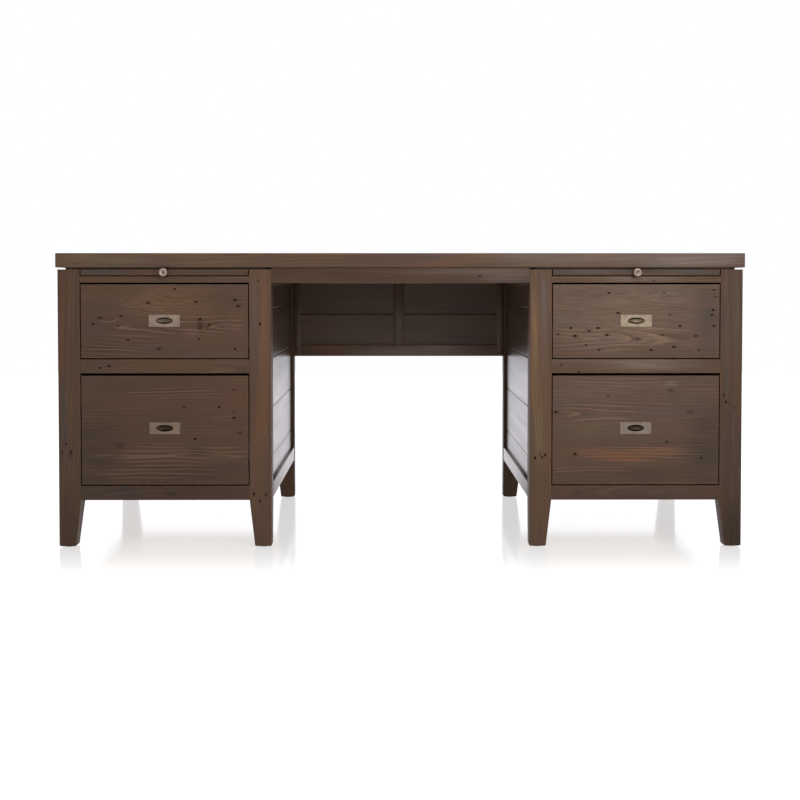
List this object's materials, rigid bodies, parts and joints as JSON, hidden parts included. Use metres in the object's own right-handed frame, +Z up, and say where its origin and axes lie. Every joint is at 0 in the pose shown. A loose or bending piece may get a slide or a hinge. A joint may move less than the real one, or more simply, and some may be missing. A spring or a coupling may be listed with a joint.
{
  "type": "executive desk",
  "caption": "Wide pedestal desk in dark stained pine with tapered feet, drawers on telescopic slides, pull-out writing trays and an open kneehole with a modesty frame.",
  "frame": {"origin": "on the floor, under the middle of the desk's whole box, knobs included", "axes": "+X along the desk to the user's right, +Y from the drawer fronts to the back, +Z up"},
  "size_m": [1.778, 0.931, 0.762],
  "materials": {
    "stained_pine": "dark grey-brown stain under satin lacquer",
    "clear_pine": "clear matt lacquer",
    "plain_pine": "sawn and planed, unfinished",
    "birch_plywood": "sanded, unfinished",
    "zinc_plated_steel": "bright zinc plate",
    "aged_brass": "aged, satin",
    "nylon": "natural, matt"
  },
  "bodies": {
    "desk_frame": {"apron_glue_blocks": "plain_pine", "back_rails": "stained_pine", "bottom_boards": "plain_pine", "cabinet_slides": "zinc_plated_steel", "desk_top": "stained_pine", "foot_glides": "nylon", "kneehole_apron": "stained_pine", "left_back_panel": "stained_pine", "left_front_rails": "stained_pine", "left_inner_side_panel": "stained_pine", "left_outer_side_panel": "stained_pine", "left_posts": "stained_pine", "left_side_rails": "stained_pine", "modesty_panels": "stained_pine", "modesty_rails": "stained_pine", "modesty_stiles": "stained_pine", "right_back_panel": "stained_pine", "right_front_rails": "stained_pine", "right_inner_side_panel": "stained_pine", "right_outer_side_panel": "stained_pine", "right_posts": "stained_pine", "right_side_rails": "stained_pine", "slide_cleats": "plain_pine", "top_bolts": "zinc_plated_steel", "top_spacers": "stained_pine", "tray_runners": "plain_pine"},
    "left_lower_drawer": {"left_lower_drawer_bottom": "birch_plywood", "left_lower_drawer_ends": "clear_pine", "left_lower_drawer_front": "stained_pine", "left_lower_drawer_pull": "aged_brass", "left_lower_drawer_sides": "clear_pine", "left_lower_drawer_slides": "zinc_plated_steel", "left_lower_file_rails": "zinc_plated_steel"},
    "left_lower_slide_middle": {"left_lower_middle_slides": "zinc_plated_steel"},
    "left_tray": {"left_tray_board": "stained_pine", "left_tray_knob": "aged_brass"},
    "left_upper_drawer": {"left_upper_drawer_bottom": "birch_plywood", "left_upper_drawer_ends": "clear_pine", "left_upper_drawer_front": "stained_pine", "left_upper_drawer_pull": "aged_brass", "left_upper_drawer_sides": "clear_pine", "left_upper_drawer_slides": "zinc_plated_steel"},
    "left_upper_slide_middle": {"left_upper_middle_slides": "zinc_plated_steel"},
    "right_lower_drawer": {"right_lower_drawer_bottom": "birch_plywood", "right_lower_drawer_ends": "clear_pine", "right_lower_drawer_front": "stained_pine", "right_lower_drawer_pull": "aged_brass", "right_lower_drawer_sides": "clear_pine", "right_lower_drawer_slides": "zinc_plated_steel", "right_lower_file_rails": "zinc_plated_steel"},
    "right_lower_slide_middle": {"right_lower_middle_slides": "zinc_plated_steel"},
    "right_tray": {"right_tray_board": "stained_pine", "right_tray_knob": "aged_brass"},
    "right_upper_drawer": {"right_upper_drawer_bottom": "birch_plywood", "right_upper_drawer_ends": "clear_pine", "right_upper_drawer_front": "stained_pine", "right_upper_drawer_pull": "aged_brass", "right_upper_drawer_sides": "clear_pine", "right_upper_drawer_slides": "zinc_plated_steel"},
    "right_upper_slide_middle": {"right_upper_middle_slides": "zinc_plated_steel"}
  },
  "joints": [
    {"name": "left_upper_drawer_slide", "type": "slide", "parent": "desk_frame", "child": "left_upper_drawer", "axis": [0, -1, 0], "range_m": [0, 0.54]},
    {"name": "left_upper_middle_slide", "type": "slide", "parent": "desk_frame", "child": "left_upper_slide_middle", "axis": [0, -1, 0], "range_m": [0, 0.27]},
    {"name": "left_lower_drawer_slide", "type": "slide", "parent": "desk_frame", "child": "left_lower_drawer", "axis": [0, -1, 0], "range_m": [0, 0.54]},
    {"name": "left_lower_middle_slide", "type": "slide", "parent": "desk_frame", "child": "left_lower_slide_middle", "axis": [0, -1, 0], "range_m": [0, 0.27]},
    {"name": "left_tray_slide", "type": "slide", "parent": "desk_frame", "child": "left_tray", "axis": [0, -1, 0], "range_m": [0, 0.3]},
    {"name": "right_upper_drawer_slide", "type": "slide", "parent": "desk_frame", "child": "right_upper_drawer", "axis": [0, -1, 0], "range_m": [0, 0.54]},
    {"name": "right_upper_middle_slide", "type": "slide", "parent": "desk_frame", "child": "right_upper_slide_middle", "axis": [0, -1, 0], "range_m": [0, 0.27]},
    {"name": "right_lower_drawer_slide", "type": "slide", "parent": "desk_frame", "child": "right_lower_drawer", "axis": [0, -1, 0], "range_m": [0, 0.54]},
    {"name": "right_lower_middle_slide", "type": "slide", "parent": "desk_frame", "child": "right_lower_slide_middle", "axis": [0, -1, 0], "range_m": [0, 0.27]},
    {"name": "right_tray_slide", "type": "slide", "parent": "desk_frame", "child": "right_tray", "axis": [0, -1, 0], "range_m": [0, 0.3]}
  ],
  "couplings": [
    {"joint": "left_upper_middle_slide", "follows": "left_upper_drawer_slide", "ratio": 0.5},
    {"joint": "left_lower_middle_slide", "follows": "left_lower_drawer_slide", "ratio": 0.5},
    {"joint": "right_upper_middle_slide", "follows": "right_upper_drawer_slide", "ratio": 0.5},
    {"joint": "right_lower_middle_slide", "follows": "right_lower_drawer_slide", "ratio": 0.5}
  ]
}
